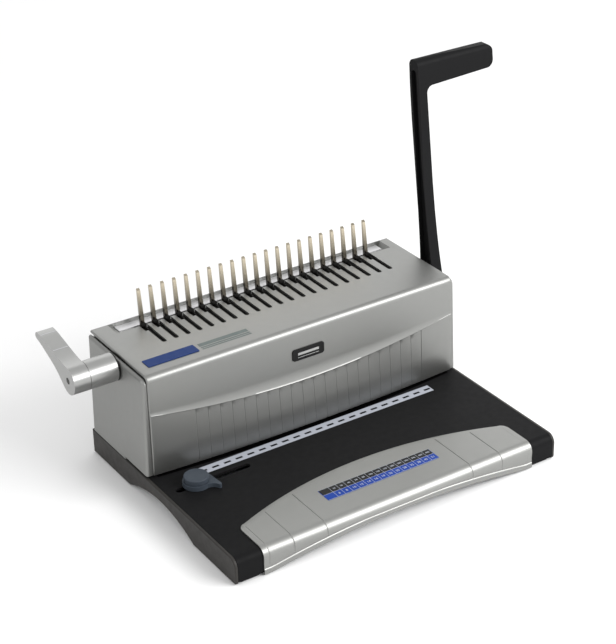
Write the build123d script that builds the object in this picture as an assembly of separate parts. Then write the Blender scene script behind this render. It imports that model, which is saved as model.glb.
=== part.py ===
from build123d import *
import math
import os

# Manual comb binding machine: a table with a horizontal paper throat, a 21-pin punch worked by the handle on
# the right, and on top a row of fixed fingers with sliding hooks, worked by the lever on the left, that open
# a plastic comb.
#
# X runs along the machine, Y from the operator's edge to the back and Z up. The origin is on the surface that
# the machine stands on, at the centre of the base's footprint. All sizes are in millimetres.

# ---------------------------------------------------------------- comb pattern
PITCH = 14.2875  # comb pitch, 9/16 inch
COUNT = 21
FINGER_CENTRE = 4.8  # X of the middle finger
PUNCH_CENTRE = 1.2  # X of the middle punched hole
HOLE_X = 8.0  # punched hole
HOLE_Y = 3.0
PUNCH_Y = 40.0

FINGER_XS = [FINGER_CENTRE + PITCH * (i - COUNT // 2) for i in range(COUNT)]
PUNCH_XS = [PUNCH_CENTRE + PITCH * (i - COUNT // 2) for i in range(COUNT)]

# ---------------------------------------------------------------- base
BASE_X = 198.0  # half length, over the cheeks
BASE_Y = 147.4  # half depth
TABLE_Z = 28.9
TABLE_T = 2.5
TABLE_X = 194.6  # half length of the table between the cheeks
TABLE_NOSE_R = 9.0
SKIRT_Z = 3.4  # lower edge of the table's front skirt
CHEEK_T = 3.0
CHEEK_Z = 0.8
CHEEK_ARCH_Y = (-66.0, 67.0)
CHEEK_ARCH_Z = 16.2
LEDGE_X = 189.5  # inner edge of the cheek's ledge, clear of the edge guide's nut
STRIP_TOP = TABLE_Z + 0.2  # printed hole strip
FASCIA_X = 166.0
FASCIA_T = 1.8
FASCIA_FRONT = -BASE_Y - FASCIA_T
FASCIA_TOP = TABLE_Z + FASCIA_T
FASCIA_NOSE_R = TABLE_NOSE_R + FASCIA_T
FASCIA_ARCH = 12.8  # rise of the fascia's lower edge
FLOOR_PLATE_Z = 16.8
SHEET_T = 1.2
BAY_X = 162.0  # half width of the chip tray's bay
BAY_FRONT = 24.0
BAY_Z = 1.8
TRAY_X = 160.0
TRAY_FRONT = 27.0
TRAY_T = 1.6
TRAY_TOP = 17.0
REAR = 147.2
FEET = [(sx * 180.0, y) for sx in (-1, 1) for y in (-134.5, 133.0)]

# ---------------------------------------------------------------- housing
HOUSING_Z0 = 31.7
HOUSING_Z1 = 146.9
HOUSING_FRONT = 25.3
HOUSING_LEAN = 1.1  # the front stands this much further out at its lower edge
HOUSING_NOSE_R = 7.0
PANEL_FRONT = 17.2  # the lower front panel bulges out to this Y in the middle of its lower edge
PANEL_END = 24.1  # and is at this Y at its ends
PANEL_FLAT = (103.0, 23.9)  # height where the panel has leaned back to almost straight, and its Y there
PANEL_TOP = 100.5  # upper edge of the slope over the panel, in the middle
PANEL_RISE = 8.0  # that edge is this much higher at its ends
SHELF_SLOPE = 5.0  # fall of that slope towards the front
WALL = 2.4
COVER_X = (-190.3, 189.6)
END_X = (-197.4, 196.7)  # outer faces of the end covers at their lower edge
END_DRAFT = 2.9
END_DROP = 4.0  # the end covers' tops lie this far below the cover's top
END_SET = 1.6  # and their fronts this far behind its front
END_FILLET = 3.2
STEP_Y = 73.0  # behind this the housing comes down onto the base
STEP_Z = 29.2
TROUGH_X = (-170.5, 178.5)
TROUGH_Y = (125.0, 146.2)
TROUGH_Z = 141.9
TROUGH_WALL = 2.0
SLOT_FRONT = 80.5
SLOT_STEP = 112.0
SLOT_REAR = 133.0

# ---------------------------------------------------------------- steel frame
PLATE_X = (173.0, 176.0)
FRAME_Y = (30.0, 141.0)
FRAME_TOP = 142.2
DIE_Z = (20.9, 28.9)
STRIPPER_Z = (34.2, 40.2)
DIE_Y = (30.0, 58.0)
PIN_GAP = 0.06  # clearance round a pin, each side
STOP_Y = (44.5, 49.5)
ROD_X = 160.0
ROD_R = 5.0
CROSSBAR_Z = (118.0, 126.0)
FINGER_BAR_Z = (124.0, 134.0)
FINGER_BAR_Y = (126.5, 138.0)
FINGER_W = 4.2
FINGER_TIP = 3.5  # width at the tip

# ---------------------------------------------------------------- punch drive
DRIVE_Y = 86.0
DRIVE_Z = 80.0
DRIVE_R = 6.0  # shaft
DRIVE_TEETH = 18
DRIVE_PITCH_R = 9.0
GEAR_X = (145.0, 155.0)
BAR_Z = (76.0, 96.0)
BAR_Y = (33.0, 47.0)
PIN_Z = (35.2, 84.0)
HANDLE_IN = 205.0  # inner face of the handle's arm
HANDLE_OUT = 218.4  # outer face of its hub
HANDLE_HUB_R = 18.0
HANDLE_TOP = 367.0
GRIP_END = 307.0

# ---------------------------------------------------------------- comb opener
OPENER_Y = 88.0
OPENER_Z = 133.0
OPENER_R = 5.0  # shaft
OPENER_TEETH = 22
OPENER_PITCH_R = 10.4
SLIDE_Z = (142.6, 144.0)
SLIDE_X = 169.0
SLIDE_FRONT = 66.0
WINDOW_X = (154.5, 161.5)
LEVER_X = (-247.2, -228.5)
COLLAR_X = (-228.1, -196.9)
HUB_R = 15.3
HOOK_Y = (121.6, 126.0)
HOOK_TOP = 149.2

# ---------------------------------------------------------------- edge guide
GUIDE_X = -160.3
GUIDE_Y = -10.3
GUIDE_SLOT_X = (-184.2, -96.4)
GUIDE_SLOT_W = 7.4
GUIDE_BOLT_R = 3.4

RUN = 0.05  # radial clearance of a running fit
COS45 = math.sqrt(0.5)


# ---------------------------------------------------------------- shape helpers
def block(x, y, z):
    """A box from its (low, high) pairs."""
    size = Box(x[1] - x[0], y[1] - y[0], z[1] - z[0])
    return Pos((x[0] + x[1]) / 2, (y[0] + y[1]) / 2, (z[0] + z[1]) / 2) * size


def rod_x(y, z, r, x):
    return Pos((x[0] + x[1]) / 2, y, z) * Rot(0, 90, 0) * Cylinder(r, x[1] - x[0])


def rod_y(x, z, r, y):
    return Pos(x, (y[0] + y[1]) / 2, z) * Rot(90, 0, 0) * Cylinder(r, y[1] - y[0])


def rod_z(x, y, r, z):
    return Pos(x, y, (z[0] + z[1]) / 2) * Cylinder(r, z[1] - z[0])


def along_x(face, x):
    """Extrude a (Y, Z) outline between two X values."""
    return extrude(Plane.YZ.offset(x[0]) * face, amount=x[1] - x[0])


def along_y(face, y):
    """Extrude an (X, Z) outline between two Y values."""
    return extrude(Plane.XZ.offset(-y[1]) * face, amount=y[1] - y[0])


def along_z(face, z):
    """Extrude an (X, Y) outline between two Z values."""
    return extrude(Plane.XY.offset(z[0]) * face, amount=z[1] - z[0])


def polygon(*points):
    return make_face(Polyline(*points, close=True))


def both_sides(x):
    """The (low, high) pair on the right and its mirror on the left."""
    return [(-x[1], -x[0]), x]


def nose_profile(front, rear, bottom, top, radius, wall, lean=0.0):
    """A top sheet that rolls over a rounded nose into a front wall, as a (Y, Z) outline."""
    cy = front + radius
    cz = top - radius
    inner = radius - wall
    outer_mid = (cy - radius * COS45, cz + radius * COS45)
    inner_mid = (cy - inner * COS45, cz + inner * COS45)
    edges = [
        Line((rear, top), (cy, top)),
        ThreePointArc((cy, top), outer_mid, (front, cz)),
        Line((front, cz), (front - lean, bottom)),
        Line((front - lean, bottom), (front - lean + wall, bottom)),
        Line((front - lean + wall, bottom), (front + wall, cz)),
        ThreePointArc((front + wall, cz), inner_mid, (cy, top - wall)),
        Line((cy, top - wall), (rear, top - wall)),
        Line((rear, top - wall), (rear, top)),
    ]
    return make_face(edges)


def screw_z(x, y, seat, length, r=2.0, head_r=3.8, head_h=2.2, down=True):
    """A pan-head screw whose head sits on z = seat."""
    way = -1 if down else 1
    head = sorted((seat, seat - way * head_h))
    shank = sorted((seat, seat + way * length))
    return rod_z(x, y, head_r, head) + rod_z(x, y, r, shank)


def screw_x(y, z, seat, length, way, r=2.0, head_r=3.8, head_h=2.2):
    """A pan-head screw along X; way is the direction that its shank points."""
    head = sorted((seat, seat - way * head_h))
    shank = sorted((seat, seat + way * length))
    return rod_x(y, z, head_r, head) + rod_x(y, z, r, shank)


def screw_y(x, z, seat, length, way, r=2.0, head_r=3.8, head_h=2.2):
    """A pan-head screw along Y; way is the direction that its shank points."""
    head = sorted((seat, seat - way * head_h))
    shank = sorted((seat, seat + way * length))
    return rod_y(x, z, head_r, head) + rod_y(x, z, r, shank)


def gear_outline(teeth, root_r, tip_r, root_half, tip_half, phase):
    """Outline of a spur gear round the origin with straight-sided teeth; one tooth points along phase."""
    points = []
    for i in range(teeth):
        centre = phase + 2 * math.pi * i / teeth
        for r, half in ((root_r, -root_half), (tip_r, -tip_half), (tip_r, tip_half), (root_r, root_half)):
            a = centre + math.asin(half / r)
            points.append((r * math.cos(a), r * math.sin(a)))
    return polygon(*points)


def save(name, *solids):
    """Write one node; several solids share a node as separate solids."""
    solid = solids[0] if len(solids) == 1 else Compound(children=list(solids))
    export_step(solid, "parts/" + name + ".step")


# ---------------------------------------------------------------- base
def base_table():
    profile = nose_profile(-BASE_Y, REAR, SKIRT_Z, TABLE_Z, TABLE_NOSE_R, TABLE_T)
    table = along_x(profile, (-TABLE_X, TABLE_X))
    through = (0.0, TABLE_Z + 1)
    table -= block((-FASCIA_X + 2.5, FASCIA_X - 2.5), (-BASE_Y - 1, -133.0), through)
    table -= block((-PLATE_X[1] - 0.2, PLATE_X[1] + 0.2), (DIE_Y[0] - 0.2, DIE_Y[1] + 0.2), through)
    for x in both_sides((PLATE_X[0] - 0.2, PLATE_X[1] + 0.2)):
        table -= block(x, (DIE_Y[1], FRAME_Y[1] + 0.2), through)
    length = GUIDE_SLOT_X[1] - GUIDE_SLOT_X[0]
    slot = Pos((GUIDE_SLOT_X[0] + GUIDE_SLOT_X[1]) / 2, GUIDE_Y) * SlotOverall(length, GUIDE_SLOT_W)
    return table - along_z(slot, through)


def cheek(side):
    """One end of the base: an arched side wall with a ledge under the table."""
    nose = 10.0
    toe = 3.0
    front_y = -BASE_Y
    corner = (front_y + nose * (1 - COS45), TABLE_Z - nose * (1 - COS45))
    toe_mid = (front_y + toe * (1 - COS45), CHEEK_Z + toe * (1 - COS45))
    outline = make_face(
        [
            Line((BASE_Y, CHEEK_Z), (CHEEK_ARCH_Y[1], CHEEK_Z)),
            ThreePointArc((CHEEK_ARCH_Y[1], CHEEK_Z), (0.0, CHEEK_ARCH_Z), (CHEEK_ARCH_Y[0], CHEEK_Z)),
            Line((CHEEK_ARCH_Y[0], CHEEK_Z), (front_y + toe, CHEEK_Z)),
            ThreePointArc((front_y + toe, CHEEK_Z), toe_mid, (front_y, CHEEK_Z + toe)),
            Line((front_y, CHEEK_Z + toe), (front_y, TABLE_Z - nose)),
            ThreePointArc((front_y, TABLE_Z - nose), corner, (front_y + nose, TABLE_Z)),
            Line((front_y + nose, TABLE_Z), (BASE_Y, TABLE_Z)),
            Line((BASE_Y, TABLE_Z), (BASE_Y, CHEEK_Z)),
        ]
    )
    wall = along_x(outline, (BASE_X - CHEEK_T, BASE_X))
    wall = fillet(wall.faces().sort_by(Axis.X)[-1].edges(), 1.2)
    wall += block((LEDGE_X, BASE_X - CHEEK_T), (-125.0, 140.0), (TABLE_Z - TABLE_T - 2.4, TABLE_Z - TABLE_T))
    return wall if side > 0 else mirror(wall, Plane.YZ)


def front_fascia():
    profile = nose_profile(FASCIA_FRONT, -60.0, 1.2, FASCIA_TOP, FASCIA_NOSE_R, FASCIA_T)
    sheet = along_x(profile, (-FASCIA_X, FASCIA_X))
    end = 158.0
    plan = make_face(
        [
            ThreePointArc((-end, -99.3), (0.0, -68.3), (end, -99.3)),
            ThreePointArc((end, -99.3), (163.9, -102.9), (FASCIA_X, -109.5)),
            Line((FASCIA_X, -109.5), (FASCIA_X, -151.0)),
            Line((FASCIA_X, -151.0), (-FASCIA_X, -151.0)),
            Line((-FASCIA_X, -151.0), (-FASCIA_X, -109.5)),
            ThreePointArc((-FASCIA_X, -109.5), (-163.9, -102.9), (-end, -99.3)),
        ]
    )
    sheet = sheet & along_z(plan, (0.0, 32.0))
    arch = make_face(
        [
            ThreePointArc((-end, 1.0), (0.0, 1.0 + FASCIA_ARCH), (end, 1.0)),
            Line((end, 1.0), (end, -2.0)),
            Line((end, -2.0), (-end, -2.0)),
            Line((-end, -2.0), (-end, 1.0)),
        ]
    )
    return sheet - along_y(arch, (-151.0, -130.0))


def bottom_plate():
    """Folded sheet-steel floor of the base, with the chip tray's bay let into it."""
    top = FLOOR_PLATE_Z + SHEET_T
    plate = block((-193.0, 193.0), (-143.0, 144.6), (FLOOR_PLATE_Z, top))
    plate += block((-BAY_X, BAY_X), (BAY_FRONT, 144.6), (BAY_Z, top))
    inner_x = BAY_X - SHEET_T
    plate -= block((-inner_x, inner_x), (BAY_FRONT + SHEET_T, 146.0), (BAY_Z + SHEET_T, top + 1))
    for x, y in FEET:
        plate -= rod_z(x, y, 2.0, (FLOOR_PLATE_Z - 1, top + 1))
    for x, y in frame_screw_points():
        plate -= rod_z(x, y, 2.0, (FLOOR_PLATE_Z - 1, top + 1))
    return plate


def rear_skirt():
    wall = block((-TABLE_X, TABLE_X), (144.7, REAR), (1.5, TABLE_Z - TABLE_T))
    return wall - block((-TRAY_X - 0.6, TRAY_X + 0.6), (144.0, 148.0), (BAY_Z + 1.0, TRAY_TOP + 0.6))


def foot(x, y):
    pad = block((x - 12.0, x + 12.0), (y - 9.8, y + 9.8), (0.0, FLOOR_PLATE_Z))
    pad = fillet(pad.edges().filter_by(Axis.Z), 3.0)
    return pad - rod_z(x, y, 4.5, (-1.0, 6.0)) - rod_z(x, y, 2.0, (5.0, FLOOR_PLATE_Z + 1))


def foot_screw(x, y):
    return screw_z(x, y, 6.0, 14.0, down=False)


def hole_strip():
    """Printed strip on the table, with a window for each punched hole."""
    strip = block((-147.5, 149.5), (1.5, 14.0), (TABLE_Z, STRIP_TOP))
    for x in PUNCH_XS:
        strip -= block((x - 4.1, x + 4.1), (5.6, 8.8), (TABLE_Z - 1, TABLE_Z + 1))
    return strip


def size_chart():
    return block((-68.0, 70.0), (-114.6, -94.4), (FASCIA_TOP, FASCIA_TOP + 0.3))


def chip_tray():
    """Open tray under the die; it pulls out to the back by its lip."""
    tray = block((-TRAY_X, TRAY_X), (TRAY_FRONT, 147.6), (BAY_Z + SHEET_T + 0.2, TRAY_TOP))
    tray += block((-40.0, 40.0), (147.6, 152.6), (4.0, 6.4))
    inside_z = BAY_Z + SHEET_T + 0.2 + TRAY_T
    return tray - block((TRAY_T - TRAY_X, TRAY_X - TRAY_T), (TRAY_FRONT + TRAY_T, 144.6), (inside_z, 30.0))


# ---------------------------------------------------------------- housing
def panel_plan(middle, ends, z):
    """The panel's plan at height z: an arc in front, closed behind by the front wall."""
    x0 = COVER_X[0]
    x1 = COVER_X[1]
    rear = HOUSING_FRONT + WALL
    outline = make_face(
        [
            ThreePointArc((x0, ends), (0.0, middle), (x1, ends)),
            Line((x1, ends), (x1, rear)),
            Line((x1, rear), (x0, rear)),
            Line((x0, rear), (x0, ends)),
        ]
    )
    return Pos(0.0, 0.0, z) * outline


def front_panel(inset):
    """The bulging lower front, which leans back to the wall; inset gives the space behind its own wall."""
    x0 = COVER_X[0]
    x1 = COVER_X[1]
    rear = HOUSING_FRONT + WALL
    ends = PANEL_END + inset
    low = panel_plan(PANEL_FRONT + inset, ends, HOUSING_Z0 - inset)
    high = panel_plan(PANEL_FLAT[1] + inset, ends, PANEL_FLAT[0])
    rise = SHELF_SLOPE * (rear - HOUSING_FRONT) - inset * math.hypot(1.0, SHELF_SLOPE)
    middle = PANEL_TOP + rise
    end = middle + PANEL_RISE
    front = make_face(
        [
            ThreePointArc((x0, end), (0.0, middle), (x1, end)),
            Line((x1, end), (x1, 0.0)),
            Line((x1, 0.0), (x0, 0.0)),
            Line((x0, 0.0), (x0, end)),
        ]
    )
    reach = 12.0
    slope = Vector(0.0, -1.0, -SHELF_SLOPE)
    below = extrude(Plane.XZ.offset(-rear) * front, amount=reach * slope.length, dir=slope)
    return loft([low, high]) & below


def housing_cover():
    """Top and front of the housing in one moulding, with the comb trough and the 21 slots."""
    profile = nose_profile(
        HOUSING_FRONT, REAR, HOUSING_Z0, HOUSING_Z1, HOUSING_NOSE_R, WALL, HOUSING_LEAN
    )
    cover = along_x(profile, COVER_X) + front_panel(0.0) - front_panel(WALL)
    floor_z = TROUGH_Z - TROUGH_WALL
    outer_x = (TROUGH_X[0] - TROUGH_WALL, TROUGH_X[1] + TROUGH_WALL)
    cover += block(outer_x, (TROUGH_Y[0] - TROUGH_WALL, REAR), (floor_z, HOUSING_Z1))
    slope = 4.0
    recess = polygon(
        (TROUGH_X[0], HOUSING_Z1 + 0.01),
        (TROUGH_X[1], HOUSING_Z1 + 0.01),
        (TROUGH_X[1] - slope, TROUGH_Z),
        (TROUGH_X[0] + slope, TROUGH_Z),
    )
    cover -= along_y(recess, TROUGH_Y)
    narrow = (-2.4, 3.0)
    wide = (-5.6, 3.4)
    end_r = (narrow[1] - narrow[0]) / 2
    end_x = (narrow[1] + narrow[0]) / 2
    tools = []
    for x in FINGER_XS:
        depth = (floor_z - 1, HOUSING_Z1 + 1)
        tools.append(rod_z(x + end_x, SLOT_FRONT + end_r, end_r, depth))
        tools.append(block((x + narrow[0], x + narrow[1]), (SLOT_FRONT + end_r, SLOT_STEP + 1), depth))
        tools.append(block((x + wide[0], x + wide[1]), (SLOT_STEP, SLOT_REAR), depth))
    return cover - tools


def end_cover(side):
    """Cap on one end of the housing: a drafted outer face with a rim that meets the cover."""
    outer = END_X[0] if side < 0 else END_X[1]
    seam = (COVER_X[0] - 0.4) if side < 0 else (COVER_X[1] + 0.4)
    x = sorted((outer, seam))
    r = HOUSING_NOSE_R
    front = HOUSING_FRONT + END_SET
    rear = REAR - END_SET
    top = HOUSING_Z1 - END_DROP
    nose_mid = (front + r * (1 - COS45), top - r * (1 - COS45))
    outline = make_face(
        [
            Line((rear, STEP_Z), (rear, top)),
            Line((rear, top), (front + r, top)),
            ThreePointArc((front + r, top), nose_mid, (front, top - r)),
            Line((front, top - r), (front - HOUSING_LEAN, HOUSING_Z0)),
            Line((front - HOUSING_LEAN, HOUSING_Z0), (STEP_Y, HOUSING_Z0)),
            Line((STEP_Y, HOUSING_Z0), (STEP_Y, STEP_Z)),
            Line((STEP_Y, STEP_Z), (rear, STEP_Z)),
        ]
    )
    cap = along_x(outline, x)
    draft = polygon(
        (outer, HOUSING_Z0),
        (outer - side * END_DRAFT, HOUSING_Z1 + 0.01),
        (outer + side, HOUSING_Z1 + 0.01),
        (outer + side, HOUSING_Z0),
    )
    cap -= along_y(draft, (0.0, 150.0))
    face = cap.faces().filter_by(lambda f: f.normal_at().X * side > 0.9).sort_by(SortBy.AREA)[-1]
    cap = fillet(face.edges().filter_by(lambda e: e.center().Z > HOUSING_Z0 + WALL), END_FILLET)
    plate_x = sorted((outer - side * (END_DRAFT + WALL), seam - side))
    hollow = polygon(
        (rear - WALL, STEP_Z - 1),
        (rear - WALL, top - WALL),
        (front + r, top - WALL),
        (front + WALL, top - r),
        (front + WALL, HOUSING_Z0 - 1),
        (STEP_Y + WALL, HOUSING_Z0 - 1),
        (STEP_Y + WALL, STEP_Z - 1),
    )
    cap -= along_x(hollow, plate_x)
    if side < 0:
        return cap - rod_x(OPENER_Y, OPENER_Z, OPENER_R + 1.5, (-200.0, -188.0))
    return cap - rod_x(DRIVE_Y, DRIVE_Z, DRIVE_R + 1.5, (188.0, 200.0))


REAR_SCREWS = [(x, z) for x in (-183.0, 0.0, 182.0) for z in (36.0, 131.0)]


def rear_cover():
    panel = block(COVER_X, (REAR - WALL, REAR), (STEP_Z, TROUGH_Z - TROUGH_WALL - 0.2))
    for x, z in REAR_SCREWS:
        panel -= rod_y(x, z, 1.8, (140.0, 150.0))
    return panel


def comb_rest_strip():
    return block((-163.0, 173.0), (134.6, 146.0), (TROUGH_Z, TROUGH_Z + 1.0))


def blue_plate():
    plate = block((-178.5, -119.0), (42.5, 57.5), (HOUSING_Z1, HOUSING_Z1 + 0.7))
    return fillet(plate.edges().filter_by(Axis.Z), 1.0)


def grey_label():
    """A plain striped label: three bars of falling width."""
    bars = [(50.2, 56.0), (46.6, 48.6), (43.4, 45.2)]
    return [block((-114.5, -56.0), y, (HOUSING_Z1, HOUSING_Z1 + 0.15)) for y in bars]


def front_badge():
    """Blank oval-cornered badge on the front, square to the leaning face."""
    run = HOUSING_Z1 - HOUSING_NOSE_R - HOUSING_Z0
    lean = math.degrees(math.atan(HOUSING_LEAN / run))
    badge = extrude(RectangleRounded(39.5, 13.5, 3.0), amount=1.2)
    height = 115.8
    face_y = HOUSING_FRONT - HOUSING_LEAN * (HOUSING_Z1 - HOUSING_NOSE_R - height) / run
    return Pos(0.75, face_y, height) * Rot(90 - lean, 0, 0) * badge


# ---------------------------------------------------------------- steel frame
def frame_screw_points():
    return [(sx * 183.0, y) for sx in (-1, 1) for y in (42.0, 78.0, 112.0)]


PLATE_SCREWS = [(36.0, 23.4), (52.0, 23.4), (36.0, 37.2), (52.0, 37.2), (40.0, 122.0), (132.0, 129.0)]
PLATE_SCREW_R = 1.5
PLATE_SCREW_LENGTH = 10.0


def frame_plate(side):
    """C-shaped end plate of the punch; sheets wider than the comb pass through its mouth."""
    outline = polygon(
        (FRAME_Y[0], 18.0),
        (FRAME_Y[1], 18.0),
        (FRAME_Y[1], 138.0),
        (121.0, 138.0),
        (121.0, FRAME_TOP),
        (FRAME_Y[0], FRAME_TOP),
        (FRAME_Y[0], STRIPPER_Z[0]),
        (STEP_Y, STRIPPER_Z[0]),
        (STEP_Y, DIE_Z[1]),
        (FRAME_Y[0], DIE_Z[1]),
    )
    plate = along_x(outline, PLATE_X)
    plate += block((PLATE_X[1], 189.0), (34.0, 119.0), (18.0, 20.4))
    through = (PLATE_X[0] - 1, PLATE_X[1] + 1)
    plate -= rod_x(DRIVE_Y, DRIVE_Z, 9.0, through)
    plate -= rod_x(OPENER_Y, OPENER_Z, 7.0, through)
    for y, z in PLATE_SCREWS:
        plate -= rod_x(y, z, PLATE_SCREW_R, through)
    for x, y in frame_screw_points():
        plate -= rod_z(x, y, 2.0, (17.0, 21.0))
    return plate if side > 0 else mirror(plate, Plane.YZ)


def pin_holes(z):
    size_x = HOLE_X / 2 + PIN_GAP
    size_y = HOLE_Y / 2 + PIN_GAP
    return [block((x - size_x, x + size_x), (PUNCH_Y - size_y, PUNCH_Y + size_y), z) for x in PUNCH_XS]


def end_threads(points):
    """Screw holes in both ends of a bar that spans the frame plates."""
    holes = []
    for y, z in points:
        for x in both_sides((PLATE_X[1] - PLATE_SCREW_LENGTH, PLATE_X[1])):
            holes.append(rod_x(y, z, PLATE_SCREW_R, x))
    return holes


def spanning_bar(y, z, screws):
    return block((-PLATE_X[0], PLATE_X[0]), y, z) - end_threads(screws)


def die_plate():
    plate = spanning_bar(DIE_Y, DIE_Z, PLATE_SCREWS[0:2])
    return plate - pin_holes((DIE_Z[0] - 1, DIE_Z[1] + 1))


def stripper_plate():
    plate = spanning_bar(DIE_Y, STRIPPER_Z, PLATE_SCREWS[2:4])
    plate -= pin_holes((STRIPPER_Z[0] - 1, STRIPPER_Z[1] + 1))
    for x in (-ROD_X, ROD_X):
        plate -= rod_z(x, PUNCH_Y, ROD_R, (STRIPPER_Z[0] - 1, STRIPPER_Z[1] + 1))
    return plate


def paper_stop():
    """Bar at the back of the throat: the sheets' edge stops on it, and it spaces the two plates."""
    return block((-PLATE_X[0], PLATE_X[0]), STOP_Y, (DIE_Z[1], STRIPPER_Z[0]))


def upper_crossbar():
    bar = spanning_bar((30.0, 50.0), CROSSBAR_Z, PLATE_SCREWS[4:5])
    for x in (-ROD_X, ROD_X):
        bar -= rod_z(x, PUNCH_Y, ROD_R, (CROSSBAR_Z[0] - 1, CROSSBAR_Z[1] + 1))
    return bar


def plate_screws():
    screws = []
    for y, z in PLATE_SCREWS:
        for side in (-1, 1):
            seat = side * PLATE_X[1]
            screws.append(screw_x(y, z, seat, PLATE_SCREW_LENGTH, -side, r=PLATE_SCREW_R, head_r=2.8))
    return screws


def guide_rods():
    return [rod_z(x, PUNCH_Y, ROD_R, (STRIPPER_Z[0], CROSSBAR_Z[1])) for x in (-ROD_X, ROD_X)]


def return_spring(x):
    """Compression spring round a guide rod, under the punch bar."""
    wire_r = 0.8
    low = STRIPPER_Z[1] + wire_r + 0.1
    high = BAR_Z[0] - wire_r - 0.1
    path = Helix(pitch=(high - low) / 7, height=high - low, radius=7.4, center=(x, PUNCH_Y, low))
    section = Plane(origin=path @ 0, z_dir=path % 0) * Circle(wire_r)
    return sweep(section, path=path)


def finger_outline_foot():
    return (FINGER_BAR_Y[0] + 1.4, FINGER_BAR_Y[0] + 5.6)


def comb_finger(x):
    """Fixed finger: square foot in the bar, then a blade that leans back and tapers to a slanted tip."""
    y0, y1 = finger_outline_foot()
    foot_z = FINGER_BAR_Z[0]
    neck_z = 146.0
    top_z = 187.0
    side = polygon((y0, foot_z), (y0, neck_z), (132.6, 184.2), (135.3, 185.7), (y1, neck_z), (y1, foot_z))
    half = FINGER_W / 2
    tip = FINGER_TIP / 2
    front = polygon(
        (x - half, foot_z), (x - half, neck_z), (x - tip, top_z),
        (x + tip, top_z), (x + half, neck_z), (x + half, foot_z),
    )
    return along_x(side, (x - 2, x + 2)) & along_y(front, (120.0, 140.0))


def finger_bar():
    bar = spanning_bar(FINGER_BAR_Y, FINGER_BAR_Z, PLATE_SCREWS[5:6])
    y = finger_outline_foot()
    z = (FINGER_BAR_Z[0] - 1, FINGER_BAR_Z[1] + 1)
    return bar - [block((x - FINGER_W / 2, x + FINGER_W / 2), y, z) for x in FINGER_XS]


def bush(y, z, bore_r, outer_r, flange_r, x, flange_x):
    ring = rod_x(y, z, outer_r, x) + rod_x(y, z, flange_r, flange_x)
    return ring - rod_x(y, z, bore_r, (-200.0, 200.0))


def drive_bushes():
    spans = both_sides((PLATE_X[0], PLATE_X[1] + 2.0))
    flanges = both_sides((PLATE_X[0] - 2.0, PLATE_X[0]))
    return [bush(DRIVE_Y, DRIVE_Z, DRIVE_R + RUN, 9.0, 11.5, s, f) for s, f in zip(spans, flanges)]


def opener_bushes():
    spans = both_sides(PLATE_X)
    flanges = both_sides((PLATE_X[1], PLATE_X[1] + 2.0))
    return [bush(OPENER_Y, OPENER_Z, OPENER_R + RUN, 7.0, 9.0, s, f) for s, f in zip(spans, flanges)]


def slide_rails():
    rails = []
    for ledge, fence in zip(both_sides((165.5, 173.0)), both_sides((SLIDE_X + 0.2, 173.0))):
        rails.append(block(ledge, (32.0, 122.6), (140.0, 142.5)) + block(fence, (32.0, 122.6), (142.5, 144.2)))
    return rails


# ---------------------------------------------------------------- punch drive
def punch_bar():
    bar = block((-168.0, 168.0), BAR_Y, BAR_Z)
    half_x = HOLE_X / 2
    half_y = HOLE_Y / 2
    bar -= [
        block((x - half_x, x + half_x), (PUNCH_Y - half_y, PUNCH_Y + half_y), (BAR_Z[0] - 1, PIN_Z[1]))
        for x in PUNCH_XS
    ]
    for x in (-ROD_X, ROD_X):
        bar -= rod_z(x, PUNCH_Y, ROD_R + RUN, (BAR_Z[0] - 1, BAR_Z[1] + 1))
    for x in RACK_SCREW_XS:
        bar -= rod_y(x, RACK_SCREW_Z, 2.0, (BAR_Y[0] - 1, BAR_Y[1] + 1))
    return bar


def punch_pins():
    y = (PUNCH_Y - HOLE_Y / 2, PUNCH_Y + HOLE_Y / 2)
    return [block((x - HOLE_X / 2, x + HOLE_X / 2), y, PIN_Z) for x in PUNCH_XS]


RACK_SCREW_XS = (-150.0, 150.0)
RACK_SCREW_Z = 88.0


def drive_rack(x):
    """Rack behind the punch bar, with straight-sided teeth that face the pinion."""
    module_pitch = 2 * math.pi * DRIVE_PITCH_R / DRIVE_TEETH
    pitch_y = DRIVE_Y - DRIVE_PITCH_R
    root_y = pitch_y - 1.0
    body = block(x, (BAR_Y[1], 70.0), (78.0, 94.0)) + block(x, (69.0, root_y), (71.0, 103.0))
    for i in range(-2, 7):
        z = DRIVE_Z + (i + 0.5) * module_pitch
        tooth = polygon(
            (root_y - 0.5, z - 0.99), (pitch_y + 0.8, z - 0.33),
            (pitch_y + 0.8, z + 0.33), (root_y - 0.5, z + 0.99),
        )
        body += along_x(tooth, x)
    middle = (x[0] + x[1]) / 2
    return body - rod_y(middle, RACK_SCREW_Z, 2.0, (BAR_Y[1] - 1, 62.0))


def drive_racks():
    return [drive_rack(x) for x in both_sides(GEAR_X)]


def rack_screws():
    return [screw_y(x, RACK_SCREW_Z, BAR_Y[0], 26.0, 1) for x in RACK_SCREW_XS]


def drive_pinions():
    outline = gear_outline(DRIVE_TEETH, 7.9, 9.75, 0.95, 0.27, math.pi)
    wheels = []
    for x in both_sides(GEAR_X):
        wheel = along_x(Pos(DRIVE_Y, DRIVE_Z) * outline, x)
        wheels.append(wheel - rod_x(DRIVE_Y, DRIVE_Z, DRIVE_R, (-200.0, 200.0)))
    return wheels


def drive_shaft():
    return rod_x(DRIVE_Y, DRIVE_Z, DRIVE_R, (-181.0, 214.0))


def drive_ring():
    return rod_x(DRIVE_Y, DRIVE_Z, 8.5, (-179.6, -178.4)) - rod_x(DRIVE_Y, DRIVE_Z, DRIVE_R, (-182.0, -178.0))


def handle_spacer():
    x = (196.3, 199.0)
    return rod_x(DRIVE_Y, DRIVE_Z, 13.0, x) - rod_x(DRIVE_Y, DRIVE_Z, DRIVE_R, (195.0, 200.0))


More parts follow.
